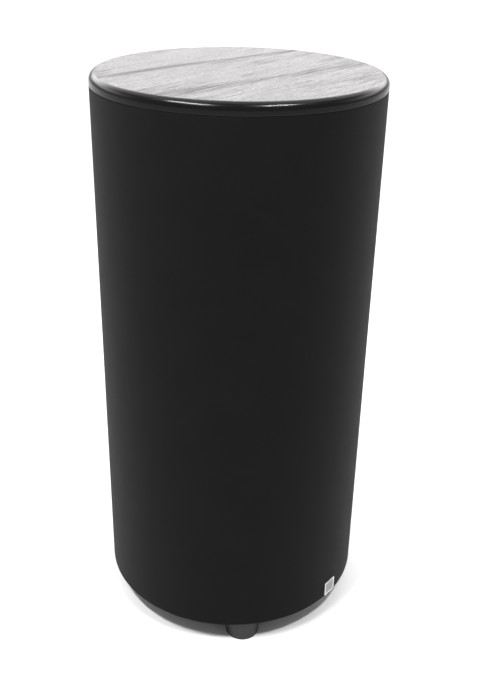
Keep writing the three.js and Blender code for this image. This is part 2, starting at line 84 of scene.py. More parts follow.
def rod(radius, low, high):
    """The profile of a plain cylinder."""
    return [(0, low), (radius, low), (radius, high), (0, high)]


def moved(x, y, z):
    return Matrix.Translation((x, y, z))


def turned(degrees, axis):
    return Matrix.Rotation(radians(degrees), 4, axis)


# ---------------------------------------------------------------- meshes


def link(name, mesh):
    thing = bpy.data.objects.new(name, mesh)
    bpy.context.scene.collection.objects.link(thing)
    return thing


def from_bmesh(name, bm, matrix=IDENTITY):
    bmesh.ops.recalc_face_normals(bm, faces=bm.faces)
    bm.transform(matrix)
    mesh = bpy.data.meshes.new(name)
    bm.to_mesh(mesh)
    bm.free()
    return link(name, mesh)


def skin(bm, a, b):
    """Faces between two rings, either of which may be a single point."""
    sides = max(len(a), len(b))
    for i in range(sides if sides > 1 else 0):
        j = (i + 1) % sides
        corners = [a[i % len(a)], b[i % len(b)], b[j % len(b)], a[j % len(a)]]
        bm.faces.new(list(dict.fromkeys(corners)))


def lathe(name, profile, sides=96, matrix=IDENTITY):
    """A closed solid turned about local +Z from (radius, height) points."""
    bm = bmesh.new()
    rings = []
    for r, z in profile:
        if r == 0:
            rings.append([bm.verts.new((0, 0, z))])
        else:
            turn = [2 * pi * i / sides for i in range(sides)]
            rings.append([bm.verts.new((r * cos(a), r * sin(a), z)) for a in turn])
    for a, b in zip(rings, rings[1:] + rings[:1]):
        skin(bm, a, b)
    return from_bmesh(name, bm, matrix)


def arc(x, y, radius, start, end, steps):
    angles = [radians(start + (end - start) * i / steps) for i in range(steps + 1)]
    return [(x + radius * cos(a), y + radius * sin(a)) for a in angles]


def rounded(half_w, half_h, corner, steps=6):
    """The outline of a rectangle with round corners."""
    w, h = half_w - corner, half_h - corner
    quarters = [(w, h, 0), (-w, h, 90), (-w, -h, 180), (w, -h, 270)]
    return [p for x, y, start in quarters for p in arc(x, y, corner, start, start + 90, steps)]


def prism(name, outline, low, high, matrix=IDENTITY):
    """An outline in local X and Y, extruded from low to high along local Z."""
    bm = bmesh.new()
    bottom = [bm.verts.new((x, y, low)) for x, y in outline]
    top = [bm.verts.new((x, y, high)) for x, y in outline]
    bm.faces.new(bottom)
    bm.faces.new(top)
    skin(bm, bottom, top)
    return from_bmesh(name, bm, matrix)


def slab(name, half_w, half_h, corner, low, high, matrix=IDENTITY):
    """A plate with round corners, in millimetres."""
    return prism(name, rounded(half_w * MM, half_h * MM, corner * MM), low * MM, high * MM, matrix)


def block(name, low, high, matrix=IDENTITY, unit=1):
    (x, y, z), (far_x, far_y, far_z) = [[v * unit for v in corner] for corner in (low, high)]
    return prism(name, [(x, y), (far_x, y), (far_x, far_y), (x, far_y)], z, far_z, matrix)


def sweep(name, path, radius, bore=0.0, sides=48):
    """A tube, or a pipe where there is a bore, along a path in the plane across X."""
    bm = bmesh.new()
    rows = []
    for i, point in enumerate(path):
        before, after = path[max(i - 1, 0)], path[min(i + 1, len(path) - 1)]
        ahead = (Vector(after) - Vector(before)).normalized()
        up = ahead.cross(Vector((1, 0, 0))).normalized()
        side = up.cross(ahead)
        turn = [2 * pi * k / sides for k in range(sides)]
        for r in [radius, bore] if bore else [radius]:
            ring = [Vector(point) + r * (cos(a) * side + sin(a) * up) for a in turn]
            rows.append([bm.verts.new(v) for v in ring])
    count = 2 if bore else 1
    for a, b in zip(rows, rows[count:]):
        skin(bm, a, b)
    if bore:
        skin(bm, rows[0], rows[1])
        skin(bm, rows[-2], rows[-1])
    else:
        bm.faces.new(rows[0])
        bm.faces.new(rows[-1])
    return from_bmesh(name, bm)


def settle(thing):
    """Applies a piece's modifiers to its mesh."""
    bpy.context.view_layer.update()
    evaluated = thing.evaluated_get(bpy.context.evaluated_depsgraph_get())
    mesh = bpy.data.meshes.new_from_object(evaluated)
    thing.modifiers.clear()
    thing.data = mesh
    return thing


def carve(thing, cutters, operation="DIFFERENCE"):
    for cutter in cutters:
        modifier = thing.modifiers.new("carve", "BOOLEAN")
        modifier.operation = operation
        modifier.solver = "EXACT"
        modifier.object = cutter
    settle(thing)
    for cutter in cutters:
        bpy.data.objects.remove(cutter)
    return thing


def join_meshes(name, meshes):
    bm = bmesh.new()
    for mesh in meshes:
        bm.from_mesh(mesh)
    joined = bpy.data.meshes.new(name)
    bm.to_mesh(joined)
    bm.free()
    return link(name, joined)


def merge(name, things):
    """Several pieces' meshes as one piece."""
    meshes = [thing.data for thing in things]
    for thing in things:
        bpy.data.objects.remove(thing)
    return join_meshes(name, meshes)


def copies(name, thing, matrices):
    """One piece's mesh, repeated at each of the places."""
    meshes = []
    for matrix in matrices:
        meshes.append(thing.data.copy())
        meshes[-1].transform(matrix)
    bpy.data.objects.remove(thing)
    return join_meshes(name, meshes)


def soften(thing, width, segments=2, angle=35):
    """Rounds the edges that are sharper than the angle, by a width in millimetres."""
    modifier = thing.modifiers.new("edges", "BEVEL")
    modifier.width = width * MM
    modifier.segments = segments
    modifier.limit_method = "ANGLE"
    modifier.angle_limit = radians(angle)
    return settle(thing)


def piece(thing, material, node=None, body="cabinet", smooth=32):
    """Gives a piece its material, smooth shading where asked and body, and hides the CAD node that it stands
    for.
    """
    thing.data.materials.clear()
    thing.data.materials.append(material)
    if smooth:
        thing.data.shade_smooth()
        thing.data.set_sharp_from_angle(angle=radians(smooth))
        flat = thing.modifiers.new("flat_faces", "WEIGHTED_NORMAL")
        flat.keep_sharp = True
    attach(thing, body)
    if node:
        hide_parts(node)
    return thing


# ---------------------------------------------------------------- materials


class Graph:
    """A node tree. A number stays on its own socket and a node's output is linked."""

    def __init__(self, tree):
        self.tree = tree

    def fill(self, socket, value):
        if isinstance(value, bpy.types.NodeSocket):
            self.tree.links.new(value, socket)
        elif isinstance(value, tuple) and len(value) == 3 and socket.type == "RGBA":
            socket.default_value = (*value, 1)
        elif value is not None:
            socket.default_value = value

    def node(self, kind, inputs, output=0, **settings):
        made = self.tree.nodes.new(kind)
        for key, value in settings.items():
            setattr(made, key, value)
        for key, value in inputs.items():
            self.fill(made.inputs[key], value)
        return made.outputs[output]

    def math(self, operation, a, b=None):
        return self.node("ShaderNodeMath", {0: a, 1: b}, operation=operation)

    def spread(self, value, low, high, to_low=0.0, to_high=1.0, kind="LINEAR"):
        inputs = {"Value": value, "From Min": low, "From Max": high, "To Min": to_low, "To Max": to_high}
        return self.node("ShaderNodeMapRange", inputs, interpolation_type=kind)


class Finish(Graph):
    """A material on the Principled shader."""

    def __init__(self, name, **sockets):
        self.material = bpy.data.materials.new(name)
        self.material.use_nodes = True
        super().__init__(self.material.node_tree)
        self.put(**sockets)

    def put(self, **sockets):
        shader = self.tree.nodes["Principled BSDF"]
        for label, value in sockets.items():
            self.fill(shader.inputs[label.replace("_", " ")], value)

    def done(self, tone, gloss, height, depth, strength=0.6):
        """The material, with its colour, roughness and a bump of a depth in millimetres."""
        bump = {"Height": height, "Distance": depth * MM, "Strength": strength}
        self.put(Base_Color=tone, Roughness=gloss, Normal=self.node("ShaderNodeBump", bump))
        return self.material

    def axes(self):
        at = self.node("ShaderNodeTexCoord", {}, output="Object")
        split = self.tree.nodes.new("ShaderNodeSeparateXYZ")
        self.fill(split.inputs[0], at)
        return split.outputs

    def ribs(self, axis, pitch):
        """Round ribs along an axis, at a pitch in millimetres."""
        wave = self.math("SINE", self.math("MULTIPLY", self.axes()[axis], pi / (pitch * MM)))
        return self.math("ABSOLUTE", wave)

    def place(self, scale=(1, 1, 1), turn=(0, 0, 0)):
        at = self.node("ShaderNodeTexCoord", {}, output="Object")
        return self.node("ShaderNodeMapping", {"Vector": at, "Scale": scale, "Rotation": turn})

    def noise(self, scale, detail=3.0, vector=None, roughness=0.55, distortion=0.0):
        inputs = {"Vector": vector or self.place(), "Scale": scale, "Detail": detail}
        inputs |= {"Roughness": roughness, "Distortion": distortion}
        return self.node("ShaderNodeTexNoise", inputs)

    def cells(self, scale, **settings):
        inputs = {"Vector": self.place(), "Scale": scale}
        return self.node("ShaderNodeTexVoronoi", inputs, output="Distance", **settings)

    def blend(self, share, a, b):
        return self.node("ShaderNodeMix", {0: share, 6: a, 7: b}, output=2, data_type="RGBA")

    def edges(self):
        """1 on worn outer edges and 0 on flat faces."""
        return self.spread(self.node("ShaderNodeNewGeometry", {}, output="Pointiness"), 0.52, 0.58)


def shade(colour, factor):
    return tuple(min(1.0, c * factor) for c in colour)


def patchy(f, patches, colour, dark, light):
    return f.blend(f.spread(patches, 0.3, 0.7), shade(colour, dark), shade(colour, light))


def moulded(name, colour, roughness, grain, depth, change=0.25, wear=0.0, **sockets):
    """A moulded or coated surface: fine grain, faint patches, and edges rubbed a little lighter.

    The size and depth of its grain are in millimetres.
    """
    f = Finish(name, **sockets)
    patches = f.noise(22, 4)
    fine = f.noise(1 / (grain * MM), 2)
    tone = patchy(f, patches, colour, 1 - change, 1 + change)
    if wear:
        tone = f.blend(f.math("MULTIPLY", f.edges(), wear), tone, shade(colour, 3.5))
    gloss = f.spread(patches, 0.25, 0.75, roughness - 0.07, min(1.0, roughness + 0.08))
    return f.done(tone, gloss, fine, depth)


def metal(name, colour, roughness, along=(1, 1, 1)):
    """Metal with fine drawn lines where one direction is stretched, and faint patches."""
    f = Finish(name, Metallic=1.0)
    lines = f.noise(1500, 3, f.place(along))
    patches = f.noise(30, 3)
    tone = patchy(f, patches, colour, 0.85, 1.1)
    gloss = f.spread(f.math("ADD", lines, patches), 0.7, 1.3, roughness - 0.08, roughness + 0.12)
    return f.done(tone, gloss, lines, 0.02, 0.5)


def veneer():
    """Black-stained ash under satin lacquer: two figured bands among long open pores, a few degrees off X."""
    f = Finish("black_ash", IOR=1.42, Specular_Tint=(1, 0.955, 0.97, 1))
    turn = (0, 0, radians(8.5))
    across = f.node("ShaderNodeSeparateXYZ", {0: f.place(turn=turn)}, output="Y")
    drift = f.noise(7, 3, f.place((0.6, 2, 2), turn))
    across = f.math("ADD", across, f.spread(drift, 0.3, 0.7, -6 * MM, 6 * MM))
    figure = f.spread(f.noise(24, 3, f.place((0.3, 1, 1), turn)), 0.52, 0.68, 0, 0.6)
    for middle, half, fade in ((75, 2, 11), (-67, 4, 19)):
        away = f.math("ABSOLUTE", f.math("SUBTRACT", across, middle * MM))
        figure = f.math("MAXIMUM", figure, f.spread(away, half * MM, fade * MM, 1, 0))
    fine = f.noise(60, 3, f.place((0.22, 11, 11), turn), roughness=0.7)
    wide = f.noise(26, 3, f.place((0.1, 7, 7), turn), roughness=0.65)
    hollows = f.math("MULTIPLY", f.spread(fine, 0.47, 0.66), f.spread(figure, 0, 1, 0.3, 0.9))
    streaks = f.math("MULTIPLY", f.spread(wide, 0.5, 0.66), f.spread(figure, 0, 1, 0.15, 1))
    hollows = f.math("ADD", hollows, streaks)
    specks = f.noise(230, 5, roughness=0.8)
    tone = f.blend(hollows, (0.011, 0.0105, 0.0105), (0.003, 0.003, 0.003))
    rough = f.math("ADD", f.math("MULTIPLY", hollows, 0.4), f.spread(specks, 0.35, 0.65, 0, 0.35))
    height = f.math("SUBTRACT", f.math("MULTIPLY", specks, 0.5), hollows)
    return f.done(tone, f.spread(rough, 0, 0.65, 0.17, 0.48), height, 0.3, 1.0)


def lacquer():
    """Smooth black lacquer round the cap's edge, with a trace of the grain under it."""
    f = Finish("edge_lacquer", IOR=1.3)
    grain = f.noise(60, 3, f.place((0.3, 8, 8)), roughness=0.7)
    haze = f.noise(24, 3)
    tone = f.blend(grain, (0.003, 0.003, 0.003), (0.0055, 0.0055, 0.0055))
    return f.done(tone, f.spread(haze, 0.3, 0.7, 0.17, 0.23), grain, 0.12)


def knit():
    """Black stretch knit: columns of small loops round the tube, a little fuzz and a soft sheen."""
    f = Finish("black_knit", Sheen_Weight=0.1, Sheen_Roughness=0.35, IOR=1.2)
    f.put(Sheen_Tint=(0.62, 0.62, 0.63, 1))
    x, y, z = f.axes()
    turn = f.math("ARCTAN2", y, x)
    column = f.math("SINE", f.math("MULTIPLY", turn, 880.0))
    shift = f.math("MULTIPLY", f.math("SIGN", column), 1.57)
    row = f.math("SINE", f.math("ADD", f.math("MULTIPLY", z, 2 * pi / (1.4 * MM)), shift))
    loops = f.math("MULTIPLY", f.math("ABSOLUTE", column), f.spread(row, -1, 1, 0.25, 1))
    fuzz = f.noise(900, 3)
    patches = f.noise(16, 5, roughness=0.65)
    lift = f.spread(patches, 0.3, 0.72, 0.8, 1.22)
    yarn = f.blend(loops, (0.0042, 0.0042, 0.0043), (0.0088, 0.0088, 0.009))
    tone = f.node("ShaderNodeVectorMath", {0: yarn, "Scale": lift}, operation="SCALE")
    height = f.math("ADD", loops, f.math("MULTIPLY", fuzz, 0.6))
    return f.done(tone, f.spread(patches, 0.3, 0.7, 0.86, 0.96), height, 0.25, 0.7)


def kraft_tube():
    """Wound fibre: overlapping strips that climb round the tube."""
    f = Finish("wound_fibre")
    x, y, z = f.axes()
    turn = f.math("DIVIDE", f.math("ARCTAN2", y, x), 2 * pi)
    climb = f.math("FRACT", f.math("ADD", f.math("MULTIPLY", z, 7.0), turn))
    seam = f.math("ADD", f.spread(climb, 0, 0.012, 1, 0), f.spread(climb, 0.988, 1, 0, 1))
    fibres = f.noise(600, 4)
    tone = f.blend(f.spread(fibres, 0.3, 0.7), (0.22, 0.15, 0.09), (0.36, 0.27, 0.17))
    tone = f.blend(f.math("MULTIPLY", seam, 0.7), tone, (0.12, 0.08, 0.05))
    height = f.math("SUBTRACT", f.math("MULTIPLY", fibres, 0.3), seam)
    return f.done(tone, f.spread(fibres, 0.3, 0.7, 0.8, 0.95), height, 0.2)


def fibreboard():
    f = Finish("fibreboard")
    fibres = f.noise(900, 4, f.place((1, 1, 0.4)))
    specks = f.cells(700)
    patches = f.noise(14, 3)
    tone = f.blend(f.spread(fibres, 0.3, 0.7), (0.26, 0.18, 0.1), (0.45, 0.33, 0.2))
    tone = f.blend(f.spread(specks, 0.12, 0.0, 0, 0.6), tone, (0.14, 0.09, 0.05))
    return f.done(tone, f.spread(patches, 0.3, 0.7, 0.8, 0.92), fibres, 0.1)


def pulp():
    """Coated paper cone: short felted fibres and a slight shine."""
    f = Finish("coated_pulp", IOR=1.4)
    felt = f.noise(750, 5, roughness=0.7, distortion=1.2)
    patches = f.noise(35, 3)
    tone = f.blend(f.spread(felt, 0.35, 0.65), (0.012, 0.012, 0.013), (0.032, 0.032, 0.034))
    return f.done(tone, f.spread(patches, 0.3, 0.7, 0.48, 0.62), felt, 0.12)


def winding():
    """Enamelled wire wound along Z."""
    f = Finish("enamelled_wire", Metallic=1.0)
    turns = f.ribs(2, 0.5)
    tone = f.blend(f.noise(60), (0.5, 0.18, 0.06), (0.75, 0.36, 0.15))
    return f.done(tone, f.spread(turns, 0, 1, 0.5, 0.28), turns, 0.15, 0.8)


def woven(name, low, high):
    """Plain weave in the plane across Z."""
    f = Finish(name)
    pitch = 0.9 * MM
    warp, weft = [f.math("SINE", f.math("MULTIPLY", axis, 2 * pi / pitch)) for axis in f.axes()[:2]]
    cross = f.spread(f.math("MULTIPLY", warp, weft), -1, 1)
    tone = f.blend(f.math("MULTIPLY", cross, f.spread(f.noise(40), 0.3, 0.7, 0.6, 1)), low, high)
    return f.done(tone, f.spread(cross, 0, 1, 0.9, 0.75), cross, 0.15, 0.7)


def fluff():
    f = Finish("polyester_wadding", Sheen_Weight=0.3, Sheen_Roughness=0.6)
    hairs = f.noise(260, 6, roughness=0.75, distortion=2.5)
    tufts = f.noise(28, 4)
    tone = f.blend(f.spread(hairs, 0.3, 0.7), (0.55, 0.54, 0.5), (0.85, 0.84, 0.8))
    height = f.math("ADD", hairs, tufts)
    return f.done(tone, f.spread(tufts, 0.3, 0.7, 0.9, 1.0), height, 2, 0.8)


def solder_mask():
    """Green board: faint copper tracks and pale pads under the mask."""
    f = Finish("solder_mask", Coat_Weight=0.4)
    tracks = f.cells(110, feature="DISTANCE_TO_EDGE")
    pads = f.cells(260)
    tone = f.blend(f.spread(tracks, 0.02, 0.05), (0.03, 0.17, 0.06), (0.012, 0.07, 0.025))
    tone = f.blend(f.spread(pads, 0.13, 0.1), tone, (0.55, 0.55, 0.5))
    return f.done(tone, f.spread(pads, 0, 0.4, 0.25, 0.4), tracks, 0.1, 0.3)


def laminations():
    """The stack of a transformer's core, in sheets across X."""
    f = Finish("core_laminations", Metallic=0.6)
    sheets = f.ribs(0, 0.9)
    rust = f.noise(90, 4)
    tone = f.blend(f.spread(rust, 0.4, 0.7), (0.09, 0.08, 0.075), (0.2, 0.12, 0.07))
    return f.done(tone, f.spread(sheets, 0, 1, 0.7, 0.45), sheets, 0.15, 0.8)


def brushed(name, low, high, gloss):
    """Aluminium with fine lines across the plate."""
    f = Finish(name, Metallic=0.85)
    lines = f.noise(900, 4, f.place((0.03, 1, 1)))
    patches = f.noise(60, 3)
    rough = f.spread(f.math("ADD", lines, patches), 0.7, 1.3, gloss - 0.08, gloss + 0.08)
    return f.done(f.blend(lines, low, high), rough, lines, 0.04, 0.5)


VENEER = veneer()
LACQUER = lacquer()
KNIT = knit()
TUBE = kraft_tube()
BOARD_WOOD = fibreboard()
PULP = pulp()
WINDING = winding()
SPIDER = woven("dipped_cloth", (0.4, 0.24, 0.07), (0.7, 0.48, 0.2))
FLUFF = fluff()
MASK = solder_mask()
CORE = laminations()
BADGE = brushed("badge_rim", (0.7, 0.7, 0.7), (0.9, 0.9, 0.9), 0.3)
BADGE_FIELD = brushed("badge_field", (0.25, 0.25, 0.25), (0.34, 0.34, 0.34), 0.5)
PAINT = moulded("black_paint", (0.016, 0.016, 0.016), 0.6, 1.2, 0.06)
RUBBER = moulded("foot_rubber", (0.0155, 0.0155, 0.016), 0.62, 0.7, 0.05, wear=0.35)
ROLL = moulded("surround_rubber", (0.014, 0.014, 0.0145), 0.42, 0.9, 0.02)
GASKET = moulded("gasket_foam", (0.02, 0.02, 0.021), 0.9, 0.9, 0.2)
POWDER = moulded("powder_coat", (0.014, 0.014, 0.0145), 0.5, 0.45, 0.05, wear=0.25)
PANEL = moulded("panel_coat", (0.018, 0.018, 0.019), 0.46, 0.4, 0.04)
PORT = moulded("port_plastic", (0.016, 0.016, 0.0165), 0.5, 0.7, 0.05, wear=0.2)
HOUSING = moulded("frame_plastic", (0.018, 0.018, 0.0185), 0.55, 0.6, 0.05, wear=0.25)
KNOB = moulded("knob_plastic", (0.013, 0.013, 0.0135), 0.38, 0.5, 0.02, wear=0.4)
SOCKET = moulded("socket_plastic", (0.02, 0.02, 0.021), 0.42, 0.5, 0.02, wear=0.2)
GLOSS = moulded("rocker_plastic", (0.01, 0.01, 0.01), 0.2, 2, 0.005)
MARKS = moulded("print_white", (0.6, 0.6, 0.58), 0.6, 0.5, 0.01, 0.1)
RED = moulded("red_insulator", (0.5, 0.015, 0.012), 0.4, 0.5, 0.01, 0.15)
WHITE = moulded("white_insulator", (0.7, 0.7, 0.68), 0.4, 0.5, 0.01, 0.08)
SLEEVING = moulded("shrink_sleeve", (0.012, 0.014, 0.035), 0.3, 1.5, 0.02)
WIRE = moulded("wire_insulation", (0.35, 0.02, 0.015), 0.45, 0.6, 0.01)
LENS = moulded("blue_lens", (0.05, 0.13, 0.5), 0.2, 2, 0.01, Transmission_Weight=0.5)
FERRITE = moulded("ferrite", (0.045, 0.046, 0.05), 0.7, 0.8, 0.08, wear=0.3)
ZINC = metal("zinc_plate", (0.55, 0.55, 0.56), 0.36)
NICKEL = metal("nickel", (0.7, 0.68, 0.64), 0.24, (1, 1, 4))
FINS = metal("extruded_fins", (0.5, 0.5, 0.52), 0.4, (1, 1, 0.03))

# ---------------------------------------------------------------- camera, floor and light

SENSOR, LENS_LENGTH = 36, 47.59714  # mm, as solved with the outline
ROOM, BACKDROP = 0.3, 1.5
AIM_TURN = radians(-51.2)  # the view's direction round the object, from straight behind the front


def make_camera():
    """The lens and place that the object's outline was solved for."""
    distance, height = 1.33949, BASE_Z + 1.07528
    pitch, yaw, roll = radians(27.025), radians(0.537), radians(1.192)
    forward = Vector((sin(yaw) * cos(pitch), cos(yaw) * cos(pitch), -sin(pitch)))
    right = Vector((cos(yaw), -sin(yaw), 0))
    up = right.cross(forward)
    across = right * cos(roll) + up * sin(roll)
    above = -right * sin(roll) + up * cos(roll)
    matrix = Matrix((across, above, -forward)).transposed().to_4x4()
    matrix.translation = (0, -distance, height)
    camera = bpy.data.objects.new("camera", bpy.data.cameras.new("camera"))
    camera.data.sensor_width = SENSOR
    camera.data.lens = LENS_LENGTH
    camera.matrix_world = Matrix.Rotation(AIM_TURN, 4, "Z") @ matrix
    bpy.context.scene.collection.objects.link(camera)
    bpy.context.scene.camera = camera


def towards(azimuth, elevation):
    """A direction by its angle round from the camera's side and its height."""
    a = AIM_TURN - radians(90) + radians(azimuth)
    level, rise = polar(1, elevation)
    return Vector((cos(a) * level, sin(a) * level, rise))


def softbox(name, azimuth, elevation, distance, width, height, glow):
    """A rectangular light of an even brightness, turned to the upper body and unseen by the camera."""
    aim = Vector((0, 0, 0.8))
    light = bpy.data.lights.new(name, "AREA")
    light.shape = "RECTANGLE"
    light.size, light.size_y, light.energy = width, height, 4 * glow * width * height
    lamp = bpy.data.objects.new(name, light)
    lamp.location = aim + distance * towards(azimuth, elevation)
    lamp.rotation_euler = (aim - lamp.location).to_track_quat("-Z", "Y").to_euler()
    lamp.visible_camera = False
    bpy.context.scene.collection.objects.link(lamp)


def make_world():
    """A dim room with a bright backdrop low behind the object."""
    world = bpy.data.worlds.new("studio")
    world.use_nodes = True
    bpy.context.scene.world = world
    g = Graph(world.node_tree)
    at = g.node("ShaderNodeTexCoord", {}, output="Generated")
    straight_back = {0: at, 1: -towards(0, 0)}
    behind = g.node("ShaderNodeVectorMath", straight_back, output="Value", operation="DOT_PRODUCT")
    height = g.node("ShaderNodeSeparateXYZ", {0: at}, output=2)
    glow = g.spread(behind, -0.25, 0.75, kind="SMOOTHSTEP")
    glow = g.math("MULTIPLY", glow, g.spread(height, 0.34, 0.56, 1.0, 0.05, "SMOOTHSTEP"))
    glow = g.math("MULTIPLY", glow, g.spread(height, 0.12, 0.26, 0.15, 2.1, "SMOOTHSTEP"))
    background = g.tree.nodes["Background"]
    g.fill(background.inputs["Color"], (1, 0.975, 0.985))
    g.fill(background.inputs["Strength"], g.math("ADD", g.math("MULTIPLY", glow, BACKDROP), ROOM))


def make_floor():
    bm = bmesh.new()
    bmesh.ops.create_grid(bm, x_segments=8, y_segments=8, size=40)
    floor = from_bmesh("floor", bm)
    f = Finish("floor_paper", IOR=1.2)
    paper = f.blend(f.noise(3, 3), (0.87, 0.87, 0.87), (0.9, 0.9, 0.9))
    floor.data.materials.append(f.done(paper, 0.9, f.noise(300), 0.1, 0.2))


make_camera()
make_world()
make_floor()
softbox("ceiling", 180, 49, 9.0, 16, 16, 1.0)
softbox("key_left", -50, 55, 2.6, 1.1, 0.16, 115)
softbox("key_right", 42, 58, 2.6, 0.8, 0.16, 105)
bpy.context.scene.view_settings.view_transform = "Standard"

# ---------------------------------------------------------------- cabinet


def build_cap():
    round_r = 11 * MM
    edge = arc(OUTER_R - round_r, TOP - round_r, round_r, 0, 90, 20)
    under = arc(OUTER_R - MM, CAP_UNDER + MM, MM, -90, 0, 4)
    flat = [(r, TOP) for r in (0.1995, 0.198, 0.19, 0.15, 0.1, 0.05, 0.0)]
    side = [(OUTER_R, CAP_UNDER + 1.6 * MM), (OUTER_R, TOP - round_r - 0.6 * MM)]
    profile = [(0, CAP_UNDER), (0.2, CAP_UNDER), (0.209, CAP_UNDER), *under, *side, *edge, *flat]
    cap = lathe("cap", profile, 256)
    piece(cap, VENEER, "top_cap")
    cap.data.materials.append(LACQUER)
    veneered = 0.94  # the least upward slope of the veneered face
    for face in cap.data.polygons:
        if face.normal.z < veneered:
            face.material_index = 1


def frame_cutter(margin):
    low = (FRAME_LOW.x - margin, 0.1, FRAME_LOW.z - margin)
    high = (FRAME_HIGH.x + margin, 0.24, FRAME_HIGH.z + margin)
    return block("cutter", low, high)


def port_cutter(radius):
    return lathe("port_cutter", rod(radius, 0, 0.14), 96, moved(0, 0.1, PORT_Z) @ turned(-90, "X"))


def build_sleeve():
    """The knit over the tube, its edges turned in under the cap and round the bottom."""
    top, low = CAP_UNDER - 0.3 * MM, BASE_Z + 0.5 * MM
    heights = [low + 3 * MM + (top - low - 5 * MM) * i / 48 for i in range(49)]
    outer = [(TUBE_R + 0.5 * MM, low - 0.2 * MM), (OUTER_R - 0.9 * MM, low), (OUTER_R - 0.2 * MM, low + MM)]
    outer += [(OUTER_R, z) for z in heights]
    outer += [(OUTER_R - 0.15 * MM, top - 0.9 * MM), (OUTER_R - 0.8 * MM, top)]
    inner = [(TUBE_R + 0.35 * MM, top), (TUBE_R + 0.35 * MM, low + MM)]
    sleeve = lathe("sleeve", [*outer, *inner], 256)
    hole_r = 64.5 * MM
    carve(sleeve, [frame_cutter(0.3 * MM), port_cutter(hole_r)])
    piece(sleeve, KNIT, "cloth_sleeve", smooth=50)


def build_seam():
    """A sewn seam down the back of the sleeve, above the port and between the port and the amplifier."""
    pitch = 3.2 * MM
    stitches = []
    for low, high in ((0.3965, 0.4265), (0.5735, 0.8505)):
        count = int((high - low) / pitch)
        for i in range(count):
            stitches.append(moved(0, OUTER_R, low + (high - low) * (i + 0.5) / count))
    stitch = prism("stitch", arc(0, 0, 0.55 * MM, 0, 180, 6), -1.25 * MM, 1.25 * MM)
    piece(copies("sleeve_seam", stitch, stitches), KNIT)


def build_badge():
    low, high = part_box("badge")
    middle = moved(0, low.y, (low.z + high.z) / 2) @ turned(90, "X")
    half_w, half_h = (high.x - low.x) / 2, (high.z - low.z) / 2
    plate = prism("badge_plate", rounded(half_w, half_h, 1.4 * MM), -(high.y - low.y), 0, middle)
    rim = 1.9 * MM
    inner = rounded(half_w - rim, half_h - rim, 0.8 * MM)
    field = prism("field", inner, -0.35 * MM, MM, middle)
    soften(carve(plate, [field]), 0.22)
    piece(plate, BADGE, "badge")
    plate.data.materials.append(BADGE_FIELD)
    for face in plate.data.polygons:
        if face.normal.y < -0.99 and face.center.y > low.y + 0.2 * MM:
            face.material_index = 1


def foot_places():
    return [(name, *polar(FOOT_RING_R, degrees)) for name, degrees in FOOT_ANGLES.items()]


def cross_screw(name, head_r, head_h, body_r, length):
    """A pan-head cross-recess screw, in millimetres. Its seat is at 0 and its face looks along local -Z."""
    dome = arc(head_r - 0.9, -head_h + 0.9, 0.9, 0, -90, 5)
    profile = [(0, length), (body_r, length), (body_r, 0), (head_r, 0), *dome, (0, -head_h)]
    screw = lathe(name, mm(profile), 32)
    arm_length, arm_width, depth = head_r * 0.55, head_r * 0.12, head_h * 0.35
    low, high = (-arm_length, -arm_width, -head_h - 1), (arm_length, arm_width, -depth)
    return carve(screw, [block("arm", low, high, turned(angle, "Z"), MM) for angle in (0, 90)])


def build_feet():
    r, seat, top = 26.5, 16, BASE_Z / MM - 0.3
    profile = [(3.5, top), (3.5, seat), (8.6, seat), (8.6, 0.8), (9.4, 0), (24, 0), (25.2, 0.15)]
    profile += [*arc(r - 0.8, 0.9, 0.8, -80, 0, 5), (r, top - 1), (r - 0.5, top - 0.2), (r - 1.2, top)]
    for name, x, y in foot_places():
        foot = lathe(f"rubber_foot_{name}", mm(profile), 96, moved(x, y, 0))
        piece(foot, RUBBER, f"foot_{name}")
        screw = cross_screw(f"foot_bolt_{name}", 6.5, 4, 3, 39)
        screw.data.transform(moved(x, y, (seat - 0.3) * MM))
        piece(screw, ZINC, f"foot_screw_{name}")


def build_baffle():
    flange_r, cutout, top, rebate, low = 153.5, 141, 60, 42, BASE_Z / MM
    rim_r = TUBE_R / MM
    profile = [(cutout, top), (cutout, rebate), (flange_r, rebate), (flange_r, low + 0.8)]
    profile += [(flange_r + 0.8, low), (190, low), *arc(rim_r - 1.5, low + 1.5, 1.5, -90, 0, 5), (rim_r, top)]
    baffle = lathe("baffle", mm(profile), 192)
    hole = rod(3.2 * MM, BASE_Z - MM, 56 * MM)
    holes = [lathe("hole", hole, 24, moved(x, y, 0)) for _, x, y in foot_places()]
    piece(carve(baffle, holes), PAINT, "bottom_baffle")


